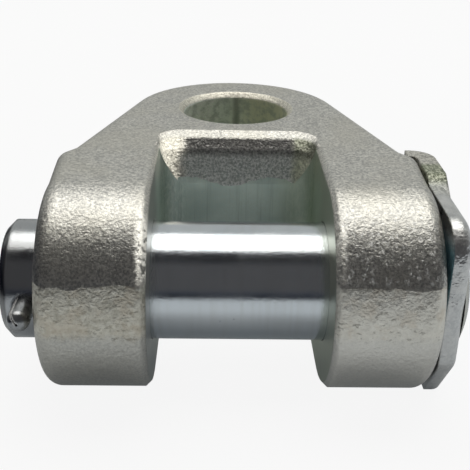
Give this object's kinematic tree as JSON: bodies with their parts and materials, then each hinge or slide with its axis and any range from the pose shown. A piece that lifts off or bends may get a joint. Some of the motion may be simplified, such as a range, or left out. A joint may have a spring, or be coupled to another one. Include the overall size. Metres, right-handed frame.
{
  "type": "clevis rod end",
  "caption": "Forged fork with an eye at its closed end, holding a headed cross pin that a spring pin retains.",
  "frame": {"origin": "middle of the eye's bore, on its axis at half the fork's height", "axes": "+Z along the eye's bore, +X along the clevis pin towards its head plate, and the ears point along -Y"},
  "size_m": [0.1051, 0.1161, 0.05],
  "materials": {
    "forged_zinc": "shot-blasted forging with bright zinc plating, milled in the slot",
    "turned_zinc": "ground and zinc plated, semi-gloss",
    "plate_zinc": "rolled and sheared, zinc plated",
    "weld_bead": "rippled weld bead, zinc plated",
    "spring_steel": "plain rolled spring steel, zinc plated"
  },
  "bodies": {
    "root": {"fork_body": "forged_zinc", "clevis_pin": "turned_zinc", "head_plate": "plate_zinc", "pin_weld": "weld_bead", "spring_pin": "spring_steel"}
  },
  "joints": []
}
